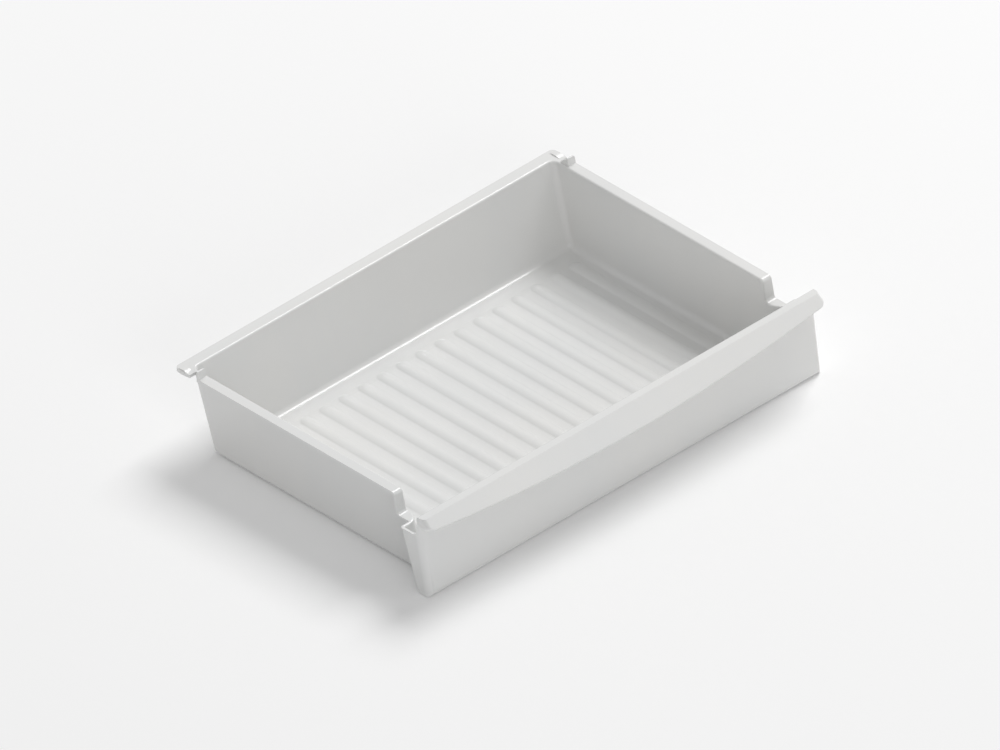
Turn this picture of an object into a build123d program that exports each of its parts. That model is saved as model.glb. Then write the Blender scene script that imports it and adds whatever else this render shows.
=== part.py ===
from build123d import *
from math import cos, hypot, radians, sin, sqrt, tan
import os

# Refrigerator meat drawer, moulded in one piece.
# X runs across the drawer, Y from the pull lip to the back, Z up from the underside.
# Sizes are in millimetres and degrees.

# Pan
rim_width = 393.0  # across the outer edges of the two side rims
pan_depth = 275.2  # rear edge of the back flange to the foot of the front face
rim_height = 69.0  # underside to the top of the rim
wall = 2.0
floor_thickness = 2.0
side_draft = 1.8
back_lean = 17.1
corner_radius = 5.2  # inside the pan, upright corners and floor edge

# Rim
side_rim = 9.2  # inner wall face to the outer edge, at the top
back_flange = 10.2  # inner wall face to the rear edge, at the top
rim_thickness = 2.7
low_rim_thickness = 1.7
rim_edge_radius = 1.7  # rounding into the pan
step_to_wings = 15.8  # where the side rims step down, behind the rear face of the wings
step_drop = 17.7
step_lean = 12.0
step_thickness = 1.5
step_top_radius = 3.4
step_foot_radius = 3.2

# Wider hollow front
wing_overhang = 9.7  # how far each wing stands out past the side rim, at the level of the lowered rim
wing_draft = 1.5
front_box_depth = 30.8  # rear face of the wings at the lowered rim, to the foot of the front face
web_lean = 18.0
web_edge_radius = 2.4  # outside, upright edges of the wings' rear wall
jog_radius = 11.6  # inside, where each side wall turns out into its wing
front_set_back = 11.8  # top of the front face, behind its foot
front_corner_radius = 6.0  # outside, upright edges of the front face
front_foot_radius = 4.4  # outside, lower edge of the front face
wing_stub_radius = 4.5  # where the lowered rim turns up to the pull lip

# Pull lip
lip_overhang = 0.2  # how far each end of the flat top stands out past the wing
lip_land = 8.0  # flat top, from the inner face of the front wall
lip_slope = 40.0
lip_reach_middle = 20.8  # down the slope
lip_reach_end = 9.8
lip_thickness = 2.5
lip_end_draft = 5.0
lip_corner_radius = 3.4  # where the slope turns into the ends
lip_outline_radius = 8.3  # ends of the lower edge
lip_rear_radius = 2.0
lip_edge_radius = 0.9
skirt_height = 2.9  # ends of the lip, at the front wall
skirt_angle = 29.0  # how steeply their lower edge falls away to the front

# Floor ribs
rib_count = 18
rib_side_gap = 15.2  # middle of an outer rib to the side wall, at the floor
rib_width = 13.4
rib_shoulder = 0.6  # height of the sloping foot of a rib
rib_side_angle = 22.0
rib_crown = 0.9  # rise of the rounded top above the shoulder
rib_end_gap = 9.7  # rib tip to the start of the floor edge rounding

# Stop tabs and ears at the back of the side rims
ear_length = 15.6
ear_bulge = 1.0
ear_corner_radius = 4.5
notch_length = 7.0
notch_land = 3.3  # rim left between the notch and the inner wall face
tab_height = 6.7
tab_thickness = 2.4
tab_lean = 10.0
tab_top_radius = 0.9
tab_corner_radius = 2.6  # right-hand top corner of each tab
gusset_width = 1.7
gusset_length = 6.6
pad_width = 5.2
pad_length = 10.8
pad_rise = 0.9

# Levels and lines worked out from the sizes
low_rim = rim_height - step_drop
slope_rise = sin(radians(lip_slope))
slope_run = cos(radians(lip_slope))
land_front_depth = pan_depth - front_set_back - wall + lip_land
nose_rounding = lip_edge_radius * (slope_rise + slope_run - 1)
overall_depth = land_front_depth + lip_reach_middle * slope_run - nose_rounding
back_edge = overall_depth / 2
inner_half_width = rim_width / 2 - side_rim
front_width = rim_width + 2 * wing_overhang
lip_width = front_width + 2 * lip_overhang
web_from_back = pan_depth - front_box_depth
step_from_back = web_from_back - step_to_wings
floor_back = back_edge - back_flange - (rim_height - floor_thickness) * tan(radians(back_lean))
rib_back = floor_back - corner_radius - rib_end_gap
rib_front = back_edge - pan_depth + wall + corner_radius + rib_end_gap
floor_half_width = inner_half_width - (rim_height - floor_thickness) * tan(radians(side_draft))
rib_pitch = 2 * (floor_half_width - rib_side_gap) / (rib_count - 1)
rib_height = rib_shoulder + rib_crown
rib_top_half = rib_width / 2 - rib_shoulder / tan(radians(rib_side_angle))
clear = 20.0  # how far cutting shapes run past the part
bite = 1.0  # how far joined shapes run into each other
tolerance = 0.01


def from_back(depth):
    """Y of a point that lies this far forward of the rear edge."""
    return back_edge - depth


def prism_across(outline, half_width):
    """Solid with a constant Y-Z outline, centred on X."""
    return extrude(Plane.YZ * outline, half_width, both=True)


def prism_along(outline):
    """Solid with a constant X-Z outline, longer than the drawer."""
    return extrude(Plane.XZ * outline, overall_depth + clear, both=True)


def front_face(height, inset):
    """Y of the leaning front face at a height, moved back into the wall by inset."""
    backward = inset * hypot(front_set_back, rim_height) / rim_height
    return from_back(pan_depth) + backward + front_set_back * height / rim_height


def back_face(height, inset):
    """Y of the back wall's face at a height, moved in from its outer face by inset."""
    inner_top = from_back(back_flange)
    outward = (wall - inset) / cos(radians(back_lean))
    return inner_top + outward - (rim_height - height) * tan(radians(back_lean))


def side_face(height, inset):
    """X of the right side wall's face at a height."""
    outward = (wall - inset) / cos(radians(side_draft))
    return inner_half_width + outward - (rim_height - height) * tan(radians(side_draft))


def web_face(height, inset):
    """Y of the wings' rear wall at a height."""
    forward = inset / cos(radians(web_lean))
    return from_back(web_from_back) - forward - (low_rim - height) * tan(radians(web_lean))


def wing_face(height, inset):
    """X of the right wing's face at a height."""
    inward = inset / cos(radians(wing_draft))
    return front_width / 2 - inward - (low_rim - height) * tan(radians(wing_draft))


def drafted_slab(face, inset, bottom, top):
    """Solid between the left and right faces that a function of height gives."""
    low = face(bottom, inset)
    high = face(top, inset)
    outline = Polyline((-low, bottom), (low, bottom), (high, top), (-high, top), close=True)
    return prism_along(make_face(outline))


def pan_block(inset, bottom, top):
    """Rear part of the pan, with rounded upright corners and floor edges, reaching into the front box."""
    radius = corner_radius + wall - inset
    outline = Polyline(
        (web_face(top, inset) - bite, top),
        (web_face(bottom, inset) - bite, bottom),
        (back_face(bottom, inset), bottom),
        (back_face(top, inset), top),
        close=True,
    )
    block = prism_across(make_face(outline), front_width) & drafted_slab(side_face, inset, bottom, top)
    middle = (bottom + top) / 2
    uprights = [
        edge
        for edge in block.edges()
        if edge.center().Y > 0 and abs(edge.center().Z - middle) < bite and abs(edge.center().X) > bite
    ]
    floor_edges = [
        edge
        for edge in block.edges().filter_by_position(Axis.Z, bottom, bottom)
        if edge.center().Y > web_face(bottom, inset)
    ]
    return fillet(uprights + floor_edges, radius)


def front_block(inset, bottom, top):
    """Front box, wider than the pan, its face leaning back under the pull lip and rounded at the foot."""
    outline = Polyline(
        (front_face(bottom, inset), bottom),
        (web_face(bottom, inset), bottom),
        (web_face(top, inset), top),
        (front_face(top, inset), top),
        close=True,
    )
    section = make_face(outline)
    block = prism_across(section, front_width) & drafted_slab(wing_face, inset, bottom, top)
    middle = (bottom + top) / 2
    uprights = [
        edge
        for edge in block.edges()
        if abs(edge.center().Z - middle) < bite and not on_web(edge, inset)
    ]
    block = fillet(uprights, front_corner_radius - inset)
    foot = section.vertices().group_by(Axis.Y)[0].sort_by(Axis.X)[0]
    return block & prism_across(fillet(foot, front_foot_radius - inset), front_width)


def on_web(edge, inset):
    """Whether an edge lies on the wings' rear wall."""
    return abs(edge.center().Y - web_face(edge.center().Z, inset)) < tolerance


def jog_fillers(inset, bottom, top):
    """Rounded corners that carry each side wall out into its wing, cut off slanting above the floor edge."""
    radius = jog_radius - wall + inset
    x = side_face(bottom, inset)
    y = web_face(bottom, inset)
    slant = (side_face(top, inset) - x, web_face(top, inset) - y, top - bottom)
    middle = radius * (1 - cos(radians(45)))
    arc = ThreePointArc((x + radius, y), (x + middle, y + middle), (x, y + radius))
    inner = x - wall
    front = y - wall
    ends = Polyline(
        (x, y + radius), (inner, y + radius), (inner, front), (x + radius, front), (x + radius, y),
    )
    prism = extrude(Pos(0, 0, bottom) * make_face([arc, ends]), Vector(slant).length, dir=slant)
    foot = bottom + corner_radius + wall - inset
    floor_cut = Plane((x + radius, y, foot), z_dir=(-1, -1, sqrt(2)))
    filler = split(prism, bisect_by=floor_cut, keep=Keep.TOP)
    return [filler, mirror(filler, Plane.YZ)]


def pan_volume(inset, bottom, top):
    """Space inside the drawer's outer faces, moved in by inset."""
    front = front_block(inset, bottom, top)
    if inset == 0:
        upright = [edge for edge in front.edges() if on_web(edge, inset) and abs(edge.center().X) > bite]
        front = fillet(upright, web_edge_radius)
    return pan_block(inset, bottom, top) + front + jog_fillers(inset, bottom, top)


def top_line():
    """Points and radii of the top of the side rims, from the back to the lowered part."""
    step_foot = step_from_back + step_drop * tan(radians(step_lean))
    points = [
        (back_edge + clear, rim_height),
        (from_back(step_from_back), rim_height),
        (from_back(step_foot), low_rim),
    ]
    return points, [0, step_top_radius, step_foot_radius]


def underside_line():
    """Points and radii of the rim's underside, from the back to the lowered part."""
    points, radii = top_line()
    drops = (rim_thickness, rim_thickness, low_rim_thickness)
    back = (0, step_thickness, step_thickness)
    lowered = [(y + shift, z - drop) for (y, z), shift, drop in zip(points, back, drops)]
    return lowered, [0, step_top_radius - step_thickness, step_foot_radius + step_thickness]


def walls_below_top():
    """Region under the rims, with the front wall left standing up to the pull lip."""
    points, radii = top_line()
    stub = front_face(rim_height, wall)
    front = -overall_depth
    lip_underside = rim_height - lip_thickness
    points += [
        (stub, low_rim),
        (stub, lip_underside),
        (front, lip_underside),
        (front, -clear),
        (back_edge + clear, -clear),
    ]
    radii += [wing_stub_radius, 0, 0, 0, 0]
    return prism_across(make_face(FilletPolyline(*points, radius=radii, close=True)), front_width)


def rim_ribbon():
    """Rim that follows the step, wide enough to be trimmed to its plan."""
    top, top_radii = top_line()
    under, under_radii = underside_line()
    front = -overall_depth
    points = top + [(front, low_rim), (front, low_rim - low_rim_thickness)] + under[::-1]
    radii = top_radii + [0, 0] + under_radii[::-1]
    return prism_across(make_face(FilletPolyline(*points, radius=radii, close=True)), front_width)


def rim_plan():
    """Plan of the rim, with a notch and a bulged ear at each rear corner."""
    half = rim_width / 2
    front = web_face(low_rim, wall)
    ear_front = from_back(ear_length)
    ear_middle = (half + ear_bulge, from_back(ear_length / 2))
    bulge = ThreePointArc((half, back_edge), ear_middle, (half, ear_front))
    notch = inner_half_width + notch_land
    notch_front = from_back(ear_length + notch_length)
    right = Polyline(
        (half, ear_front), (notch, ear_front), (notch, notch_front), (half, notch_front),
        (half, front), (0, front), (0, back_edge), (half, back_edge),
    )
    plan = make_face([bulge, right])
    rear_corner = plan.vertices().group_by(Axis.Y)[-1].sort_by(Axis.X)[-1]
    plan = fillet(rear_corner, ear_corner_radius)
    plan += mirror(plan, Plane.YZ)
    return extrude(plan, rim_height + clear)


def stop_tab(side):
    """Upright stop on one rim, just in front of the notch, with a gusset behind its inner end."""
    inner = side * (inner_half_width + rim_edge_radius)
    left, right = sorted((inner, side * rim_width / 2))
    rear = from_back(ear_length + notch_length)
    front = rear - tab_thickness
    lean = tab_height * tan(radians(tab_lean))
    top = rim_height + tab_height
    root = rim_height - rim_thickness / 2
    side_view = FilletPolyline(
        (rear, root), (rear, top), (front + lean, top), (front, rim_height), (front, root),
        radius=[0, tab_top_radius / 2, tab_top_radius, 0, 0], close=True,
    )
    front_view = FilletPolyline(
        (left, root), (right, root), (right, top), (left, top),
        radius=[0, 0, tab_corner_radius, 0], close=True,
    )
    plate = prism_across(make_face(side_view), rim_width) & prism_along(make_face(front_view))
    brace_top = top - tab_top_radius
    brace_foot = rear + gusset_length
    brace = Polyline(
        (rear - bite / 2, root), (rear - bite / 2, brace_top), (rear, brace_top),
        (brace_foot, rim_height), (brace_foot, root), close=True,
    )
    gusset = extrude(Plane.YZ * make_face(brace), side * gusset_width)
    return plate + Pos(inner, 0, 0) * gusset


def glide_pad():
    """Low crowned pad on top of the right ear."""
    middle = from_back(ear_length / 2)
    start = (middle - pad_length / 2, rim_height)
    end = (middle + pad_length / 2, rim_height)
    crown = ThreePointArc(start, (middle, rim_height + pad_rise), end)
    foot = Polyline(end, (end[0], rim_height - bite), (start[0], rim_height - bite), start)
    pad = extrude(Plane.YZ * make_face([crown, foot]), pad_width)
    return Pos(rim_width / 2 - pad_width, 0, 0) * pad


def lip_end_face(height, inset):
    """X of the right end of the pull lip at a height."""
    return lip_width / 2 + (rim_height - height) * tan(radians(lip_end_draft)) - inset


def lip_block(inset):
    """Solid under the pull lip's flat top and slope, its front corners rounded, moved in by inset."""
    top = rim_height - inset
    far = lip_reach_middle + clear
    wall_top = front_face(rim_height, wall)
    foot = rim_height - far
    crease = from_back(land_front_depth) + inset * tan(radians(lip_slope / 2))
    points = [
        (crease, top),
        (crease - far * slope_run, top - far * slope_rise),
        (front_face(foot, wall), foot),
    ]
    if inset == 0:
        points += [(wall_top, top)]
    else:
        points += [(wall_top + clear, foot), (wall_top + clear, top)]
    radii = [0] * (len(points) - 1) + [0 if inset else lip_rear_radius]
    outline = make_face(FilletPolyline(*points, radius=radii, close=True))
    block = prism_across(outline, front_width) & drafted_slab(lip_end_face, inset, foot - clear, top)
    corners = [
        edge
        for edge in block.edges()
        if abs(edge.center().X) > bite and edge.center().Y < crease - bite and edge.center().Z > foot
    ]
    return fillet(corners, lip_corner_radius - inset)


def pull_lip():
    """Lip over the front: a flat land, then a slope whose lower edge bows out in the middle."""
    land_front = from_back(land_front_depth)
    slope = Plane((0, land_front, rim_height), x_dir=(-1, 0, 0), z_dir=(0, -slope_rise, slope_run))
    half = lip_end_face(rim_height - lip_outline_radius, 0)
    bow = ThreePointArc((-half, lip_reach_end), (0, lip_reach_middle), (half, lip_reach_end))
    rest = Polyline((half, lip_reach_end), (half, -clear), (-half, -clear), (-half, lip_reach_end))
    plan = make_face([bow, rest])
    plan = fillet(plan.vertices().group_by(Axis.Y)[-1], lip_outline_radius)
    within_bow = extrude(slope * plan, 2 * clear, both=True)
    rear = front_face(rim_height, wall)
    fall = tan(radians(skirt_angle))
    front = -overall_depth
    above_skirt = Polyline(
        (rear + clear, rim_height - skirt_height + clear * fall),
        (front, rim_height - skirt_height - (rear - front) * fall),
        (front, rim_height + clear),
        (rear + clear, rim_height + clear),
        close=True,
    )
    hood = (lip_block(0) - lip_block(lip_thickness)) & within_bow
    hood &= prism_across(make_face(above_skirt), front_width)
    long_edges = [edge for edge in hood.edges() if edge.length > lip_width / 2]
    bow_edges = [edge for edge in long_edges if edge.geom_type != GeomType.LINE]
    return fillet(bow_edges, lip_edge_radius)


def floor_rib():
    """Rib with a sloping foot, a crowned top and round ends, standing on the floor."""
    half = rib_width / 2
    sunk = -floor_thickness / 2
    crown = ThreePointArc((-rib_top_half, rib_shoulder), (0, rib_height), (rib_top_half, rib_shoulder))
    foot = Polyline(
        (rib_top_half, rib_shoulder), (half, 0), (half, sunk),
        (-half, sunk), (-half, 0), (-rib_top_half, rib_shoulder),
    )
    section = Plane.XZ * make_face([crown, foot])
    right_half = section & Plane.XZ * Pos(half, 0) * Rectangle(rib_width, clear)
    length = rib_back - rib_front - rib_width
    end = revolve(right_half, Axis.Z, 180)
    rib = Pos(0, length / 2, 0) * (extrude(section, length) + end)
    rib += Pos(0, -length / 2, 0) * mirror(end, Plane.XZ)
    return Pos(0, (rib_back + rib_front) / 2, floor_thickness) * rib


def floor_groove():
    """Hollow in the underside that keeps the floor even under a rib, square where the rib's ends begin."""
    arch = ThreePointArc((-rib_top_half, 0), (0, rib_height), (rib_top_half, 0))
    section = make_face([arch, Line((rib_top_half, 0), (-rib_top_half, 0))])
    length = rib_back - rib_front - rib_width
    return Pos(0, (rib_back + rib_front) / 2, 0) * extrude(Plane.XZ * section, length / 2, both=True)


def rib_row(rib):
    """The rib repeated across the floor."""
    first = -rib_pitch * (rib_count - 1) / 2
    return [Pos(first + rib_pitch * index, 0, 0) * rib for index in range(rib_count)]


def meat_drawer():
    """The whole moulding."""
    outside = pan_volume(0, 0, rim_height)
    inside = pan_volume(wall, floor_thickness, rim_height + clear)
    drawer = (outside - inside) & walls_below_top()
    drawer += (rim_ribbon() & rim_plan()) - inside
    mouth = [
        edge
        for edge in drawer.edges().filter_by_position(Axis.Z, rim_height - tolerance, rim_height + tolerance)
        if abs(edge.center().Y - back_face(rim_height, wall)) < tolerance
    ]
    drawer = fillet(mouth, rim_edge_radius)
    drawer += pull_lip()
    drawer += [stop_tab(1), stop_tab(-1)]
    drawer += [glide_pad(), mirror(glide_pad(), Plane.YZ)]
    drawer += rib_row(floor_rib())
    return drawer - rib_row(floor_groove())


os.makedirs("parts", exist_ok=True)
export_step(meat_drawer(), "parts/meat_drawer.step")
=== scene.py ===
import math

import bmesh
import bpy
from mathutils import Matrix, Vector


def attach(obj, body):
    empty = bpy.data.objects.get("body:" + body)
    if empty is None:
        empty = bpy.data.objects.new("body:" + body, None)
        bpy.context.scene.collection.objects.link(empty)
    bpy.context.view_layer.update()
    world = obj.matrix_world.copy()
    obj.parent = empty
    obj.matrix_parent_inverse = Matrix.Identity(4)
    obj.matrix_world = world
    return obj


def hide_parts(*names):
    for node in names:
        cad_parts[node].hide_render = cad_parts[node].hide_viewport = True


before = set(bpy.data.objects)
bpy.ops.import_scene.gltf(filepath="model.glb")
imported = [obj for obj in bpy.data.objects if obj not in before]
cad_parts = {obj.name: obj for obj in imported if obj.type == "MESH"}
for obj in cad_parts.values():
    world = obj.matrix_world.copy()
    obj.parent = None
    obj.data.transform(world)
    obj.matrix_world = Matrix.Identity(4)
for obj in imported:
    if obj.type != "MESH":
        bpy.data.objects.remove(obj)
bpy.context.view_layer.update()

# The drawing is a true isometric: the camera stands 45 degrees to the left of the front.
VIEW_TURN = math.radians(-45)
VIEW_RISE = math.asin(math.tan(math.radians(30)))
VIEW_WIDTH = 0.7372
VIEW_TARGET = Vector((-0.0012, -0.0012, 0.03545))
VIEW_DISTANCE = 2.5
VIEW_DEPTH = 20

# Moulded plastic: two close whites that drift into each other, and a greyer white where it rubs.
WHITE_COOL = (0.78, 0.785, 0.78, 1)
WHITE_WARM = (0.81, 0.807, 0.793, 1)
RUBBED_WHITE = (0.69, 0.69, 0.675, 1)
RUBBED_SHARE = 0.5
DRIFT_SCALE = 6.0
DRIFT_WEIGHT = 0.8
FLOW_WEIGHT = 0.2
TONE_RANGE = (0.3, 0.7)
POLYSTYRENE_IOR = 1.57

# The melt spread from a gate near the middle of the floor.
GATE = (0, -0.01, 0)
FLOW_STREAKS = 9.0
FLOW_REACH_SCALE = 6.0
FLOW_DETAIL = 3.0

# Rub marks: fine lines in patches, on faces that look down.
RUB_FINENESS = 900.0
RUB_STRETCH = (1.0, 0.02, 1.0)
RUB_DETAIL = 4.0
RUB_LINE_RANGE = (0.56, 0.7)
RUB_PATCH_SCALE = 22.0
RUB_PATCH_RANGE = (0.42, 0.62)
FACING_DOWN_RANGE = (-0.6, -0.95)

# Roughness: the shiniest spots, and what haze, flow and rubbing add to it.
SHINIEST = 0.17
HAZE_SCALE = 20.0
HAZE_DETAIL = 3.0
HAZE_RANGE = (0.3, 0.8)
HAZE_ROUGHNESS = 0.06
FLOW_ROUGHNESS = 0.03
RUB_ROUGHNESS = 0.25

# Relief of the moulded skin: a slow ripple, a fine grain, and the depth of the rub marks.
RIPPLE_SCALE = 160.0
RIPPLE_DETAIL = 1.0
RIPPLE_WEIGHT = 0.6
GRAIN_SCALE = 1900.0
GRAIN_WEIGHT = 0.4
RUB_DEPTH = 0.5
RELIEF_STRENGTH = 0.1
RELIEF_DISTANCE = 0.0001

# Shading of the mesh.
SHARP_ANGLE = math.radians(28)
MERGE_DISTANCE = 1e-6
FACE_AREA_WEIGHT = 100

# Studio: the floor looks a little paler to the view, with no more light on the drawer.
FLOOR_HALF_WIDTH = 4.0
FLOOR_DROP = 0.0002
FLOOR_COLOUR = (0.94, 0.94, 0.94, 1)
FLOOR_ROUGHNESS = 0.8
FLOOR_LIFT = 0.06
PURE_WHITE = (1, 1, 1, 1)
LAMP_AIM = Vector((0, 0, 0.03))
KEY_PLACE = Vector((5.0, 1.4, 6.1))
KEY_SIZE = 4.0
KEY_POWER = 385
FILL_PLACE = Vector((-3.4, -7.6, 2.6))
FILL_SIZE = 4.4
FILL_POWER = 115
SKY_LIGHT = 0.44
BACKDROP = 0.91


def new_node(tree, kind, **settings):
    """Adds a shader node and sets its properties."""
    node = tree.nodes.new(kind)
    for name, value in settings.items():
        setattr(node, name, value)
    return node


def feed(tree, node, values):
    """Sets a node's inputs, by name or number, from a socket or a plain value."""
    for name, value in values.items():
        socket = node.inputs[name]
        if isinstance(value, bpy.types.NodeSocket):
            tree.links.new(value, socket)
        else:
            socket.default_value = value
    return node


def math_step(tree, operation, *values, clamp=False):
    """One Math node; gives its output socket."""
    node = new_node(tree, "ShaderNodeMath", operation=operation, use_clamp=clamp)
    feed(tree, node, dict(enumerate(values)))
    return node.outputs[0]


def times(tree, value, factor):
    """A value times a factor."""
    return math_step(tree, "MULTIPLY", value, factor)


def ramp(tree, value, limits, low=0.0, high=1.0):
    """Smooth step of a value, from low at the first limit to high at the second."""
    node = new_node(tree, "ShaderNodeMapRange", interpolation_type="SMOOTHSTEP")
    feed(tree, node, {
        "Value": value,
        "From Min": limits[0],
        "From Max": limits[1],
        "To Min": low,
        "To Max": high,
    })
    return node.outputs["Result"]


def noise(tree, place, scale, detail=2.0):
    """Noise over the surface, from 0 to 1."""
    node = new_node(tree, "ShaderNodeTexNoise")
    feed(tree, node, {"Vector": place, "Scale": scale, "Detail": detail})
    return node.outputs["Fac"]


def blend(tree, share, first, second):
    """Colour from the first to the second, by a share from 0 to 1."""
    node = new_node(tree, "ShaderNodeMix", data_type="RGBA")
    share_input, first_input, second_input, colour_output = 0, 6, 7, 2
    feed(tree, node, {share_input: share, first_input: first, second_input: second})
    return node.outputs[colour_output]


def new_group(name, inputs, output):
    """An empty shader group with float or vector inputs and one float output."""
    tree = bpy.data.node_groups.new(name, "ShaderNodeTree")
    for label, kind in inputs:
        tree.interface.new_socket(label, in_out="INPUT", socket_type=kind)
    tree.interface.new_socket(output, in_out="OUTPUT", socket_type="NodeSocketFloat")
    return tree, new_node(tree, "NodeGroupInput").outputs, new_node(tree, "NodeGroupOutput")


def flow_marks_group():
    """Faint streaks that run outwards from the gate, where the melt spread through the mould."""
    tree, given, result = new_group(
        "flow_marks",
        [("Place", "NodeSocketVector"), ("Gate", "NodeSocketVector"), ("Streaks", "NodeSocketFloat")],
        "Mark",
    )
    minus = new_node(tree, "ShaderNodeVectorMath", operation="SUBTRACT")
    offset = feed(tree, minus, {0: given["Place"], 1: given["Gate"]}).outputs[0]
    parts = feed(tree, new_node(tree, "ShaderNodeSeparateXYZ"), {0: offset}).outputs
    length = new_node(tree, "ShaderNodeVectorMath", operation="LENGTH")
    reach = feed(tree, length, {0: offset}).outputs["Value"]
    bearing = math_step(tree, "ARCTAN2", parts["Y"], parts["X"])
    fan = feed(tree, new_node(tree, "ShaderNodeCombineXYZ"), {
        "X": times(tree, bearing, given["Streaks"]),
        "Y": times(tree, reach, FLOW_REACH_SCALE),
        "Z": parts["Z"],
    })
    streaks = noise(tree, fan.outputs[0], 1.0, FLOW_DETAIL)
    feed(tree, result, {"Mark": streaks})
    return tree


def rub_marks_group():
    """Fine lines along the slide direction, on faces that look down and rub on the rails."""
    tree, given, result = new_group(
        "rub_marks",
        [("Place", "NodeSocketVector"), ("Facing", "NodeSocketVector"), ("Fineness", "NodeSocketFloat")],
        "Mark",
    )
    along = new_node(tree, "ShaderNodeMapping")
    stretched = feed(tree, along, {"Vector": given["Place"], "Scale": RUB_STRETCH}).outputs["Vector"]
    lines = ramp(tree, noise(tree, stretched, given["Fineness"], RUB_DETAIL), RUB_LINE_RANGE)
    patches = ramp(tree, noise(tree, given["Place"], RUB_PATCH_SCALE), RUB_PATCH_RANGE)
    upward = feed(tree, new_node(tree, "ShaderNodeSeparateXYZ"), {0: given["Facing"]}).outputs["Z"]
    downward = ramp(tree, upward, FACING_DOWN_RANGE)
    feed(tree, result, {"Mark": times(tree, times(tree, lines, patches), downward)})
    return tree


def moulded_white():
    """Glossy white polystyrene, with a fine moulded skin, flow marks and rubbed undersides."""
    material = bpy.data.materials.new("moulded_white")
    material.use_nodes = True
    tree = material.node_tree
    coordinates = new_node(tree, "ShaderNodeTexCoord").outputs
    place = coordinates["Object"]

    flow_marks = new_node(tree, "ShaderNodeGroup", node_tree=flow_marks_group())
    feed(tree, flow_marks, {"Place": place, "Gate": GATE, "Streaks": FLOW_STREAKS})
    flow = flow_marks.outputs["Mark"]
    rub_marks = new_node(tree, "ShaderNodeGroup", node_tree=rub_marks_group())
    feed(tree, rub_marks, {"Place": place, "Facing": coordinates["Normal"], "Fineness": RUB_FINENESS})
    rub = rub_marks.outputs["Mark"]

    drift = times(tree, noise(tree, place, DRIFT_SCALE), DRIFT_WEIGHT)
    tone = math_step(tree, "ADD", drift, times(tree, flow, FLOW_WEIGHT))
    white = blend(tree, ramp(tree, tone, TONE_RANGE), WHITE_COOL, WHITE_WARM)
    colour = blend(tree, times(tree, rub, RUBBED_SHARE), white, RUBBED_WHITE)

    haze = ramp(tree, noise(tree, place, HAZE_SCALE, HAZE_DETAIL), HAZE_RANGE, 0.0, HAZE_ROUGHNESS)
    hazy = math_step(tree, "ADD", haze, SHINIEST)
    flowed = math_step(tree, "ADD", hazy, times(tree, flow, FLOW_ROUGHNESS))
    roughness = math_step(tree, "ADD", flowed, times(tree, rub, RUB_ROUGHNESS), clamp=True)

    ripple = times(tree, noise(tree, place, RIPPLE_SCALE, RIPPLE_DETAIL), RIPPLE_WEIGHT)
    grain = times(tree, noise(tree, place, GRAIN_SCALE), GRAIN_WEIGHT)
    skin = math_step(tree, "ADD", ripple, grain)
    height = math_step(tree, "SUBTRACT", skin, times(tree, rub, RUB_DEPTH))
    relief = feed(tree, new_node(tree, "ShaderNodeBump"), {
        "Height": height,
        "Strength": RELIEF_STRENGTH,
        "Distance": RELIEF_DISTANCE,
    })

    feed(tree, tree.nodes["Principled BSDF"], {
        "Base Color": colour,
        "Roughness": roughness,
        "IOR": POLYSTYRENE_IOR,
        "Normal": relief.outputs["Normal"],
    })
    return material


def moulding(node, material):
    """The drawer's mesh, merged into one skin, with even shading over its flats and roundings."""
    skin = bmesh.new()
    skin.from_mesh(node.data)
    bmesh.ops.remove_doubles(skin, verts=skin.verts, dist=MERGE_DISTANCE)
    for face in skin.faces:
        face.smooth = True
    for edge in skin.edges:
        edge.smooth = edge.is_manifold and edge.calc_face_angle() < SHARP_ANGLE
    mesh = bpy.data.meshes.new("drawer_moulding")
    skin.to_mesh(mesh)
    skin.free()
    mesh.materials.append(material)

    drawer = bpy.data.objects.new("drawer_moulding", mesh)
    bpy.context.scene.collection.objects.link(drawer)
    shading = drawer.modifiers.new("even_shading", "WEIGHTED_NORMAL")
    shading.keep_sharp = True
    shading.weight = FACE_AREA_WEIGHT
    depsgraph = bpy.context.evaluated_depsgraph_get()
    finished = bpy.data.meshes.new_from_object(drawer.evaluated_get(depsgraph))
    drawer.modifiers.clear()
    drawer.data = finished
    finished.name = "drawer_moulding_skin"
    return drawer


def seen_rays(tree):
    """1 for what the view sees, directly or in a reflection, and 0 for light that bounces about."""
    rays = new_node(tree, "ShaderNodeLightPath").outputs
    mirrored = math_step(tree, "MAXIMUM", rays["Is Glossy Ray"], rays["Is Transmission Ray"])
    return math_step(tree, "MAXIMUM", rays["Is Camera Ray"], mirrored)


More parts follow.
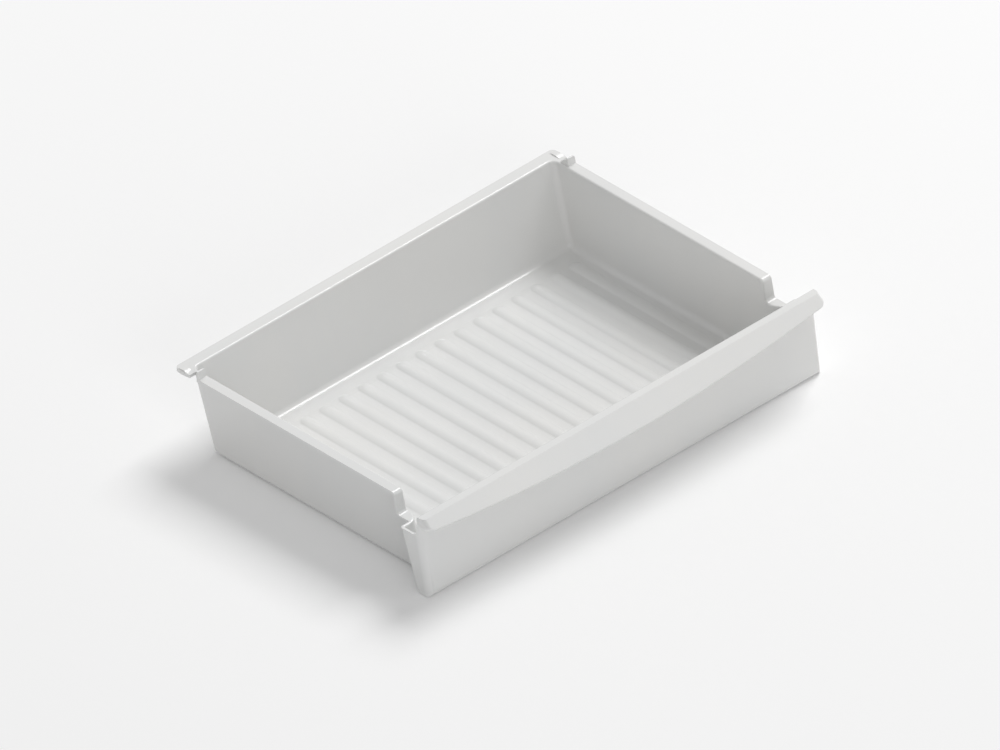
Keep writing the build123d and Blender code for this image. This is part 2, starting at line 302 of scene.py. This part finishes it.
def pale_floor():
    """Plain floor under the drawer, far larger than the view."""
    half = FLOOR_HALF_WIDTH
    corners = [(-half, -half, 0), (half, -half, 0), (half, half, 0), (-half, half, 0)]
    mesh = bpy.data.meshes.new("pale_floor")
    mesh.from_pydata(corners, [], [(0, 1, 2, 3)])
    floor = bpy.data.objects.new("pale_floor", mesh)
    floor.location.z = -FLOOR_DROP
    bpy.context.scene.collection.objects.link(floor)
    material = bpy.data.materials.new("pale_floor")
    material.use_nodes = True
    tree = material.node_tree
    feed(tree, tree.nodes["Principled BSDF"], {
        "Base Color": FLOOR_COLOUR,
        "Roughness": FLOOR_ROUGHNESS,
        "Specular IOR Level": 0.0,
        "Emission Color": PURE_WHITE,
        "Emission Strength": times(tree, seen_rays(tree), FLOOR_LIFT),
    })
    mesh.materials.append(material)
    return floor


def soft_light(name, place, size, power):
    """Square area light that looks at the drawer."""
    lamp = bpy.data.lights.new(name, "AREA")
    lamp.size = size
    lamp.energy = power
    light = bpy.data.objects.new(name, lamp)
    light.location = place
    light.rotation_euler = (LAMP_AIM - place).to_track_quat("-Z", "Y").to_euler()
    bpy.context.scene.collection.objects.link(light)


def studio_world(light, backdrop):
    """Even white light from all round; past the floor, the view and the gloss see a pale backdrop."""
    world = bpy.data.worlds.new("studio")
    world.use_nodes = True
    tree = world.node_tree
    feed(tree, tree.nodes["Background"], {
        "Color": PURE_WHITE,
        "Strength": ramp(tree, seen_rays(tree), (0.0, 1.0), light, backdrop),
    })
    bpy.context.scene.world = world


def isometric_camera():
    """Parallel view at the drawing's angle."""
    lens = bpy.data.cameras.new("isometric")
    lens.type = "ORTHO"
    lens.ortho_scale = VIEW_WIDTH
    lens.clip_end = VIEW_DEPTH
    camera = bpy.data.objects.new("isometric", lens)
    towards_camera = Vector((
        math.sin(VIEW_TURN) * math.cos(VIEW_RISE),
        -math.cos(VIEW_TURN) * math.cos(VIEW_RISE),
        math.sin(VIEW_RISE),
    ))
    camera.location = VIEW_TARGET + VIEW_DISTANCE * towards_camera
    camera.rotation_euler = (-towards_camera).to_track_quat("-Z", "Y").to_euler()
    bpy.context.scene.collection.objects.link(camera)
    bpy.context.scene.camera = camera


drawer = moulding(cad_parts["meat_drawer"], moulded_white())
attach(drawer, "root")
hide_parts("meat_drawer")

pale_floor()
soft_light("key", KEY_PLACE, KEY_SIZE, KEY_POWER)
soft_light("fill", FILL_PLACE, FILL_SIZE, FILL_POWER)
studio_world(SKY_LIGHT, BACKDROP)
isometric_camera()
bpy.context.scene.view_settings.view_transform = "Standard"
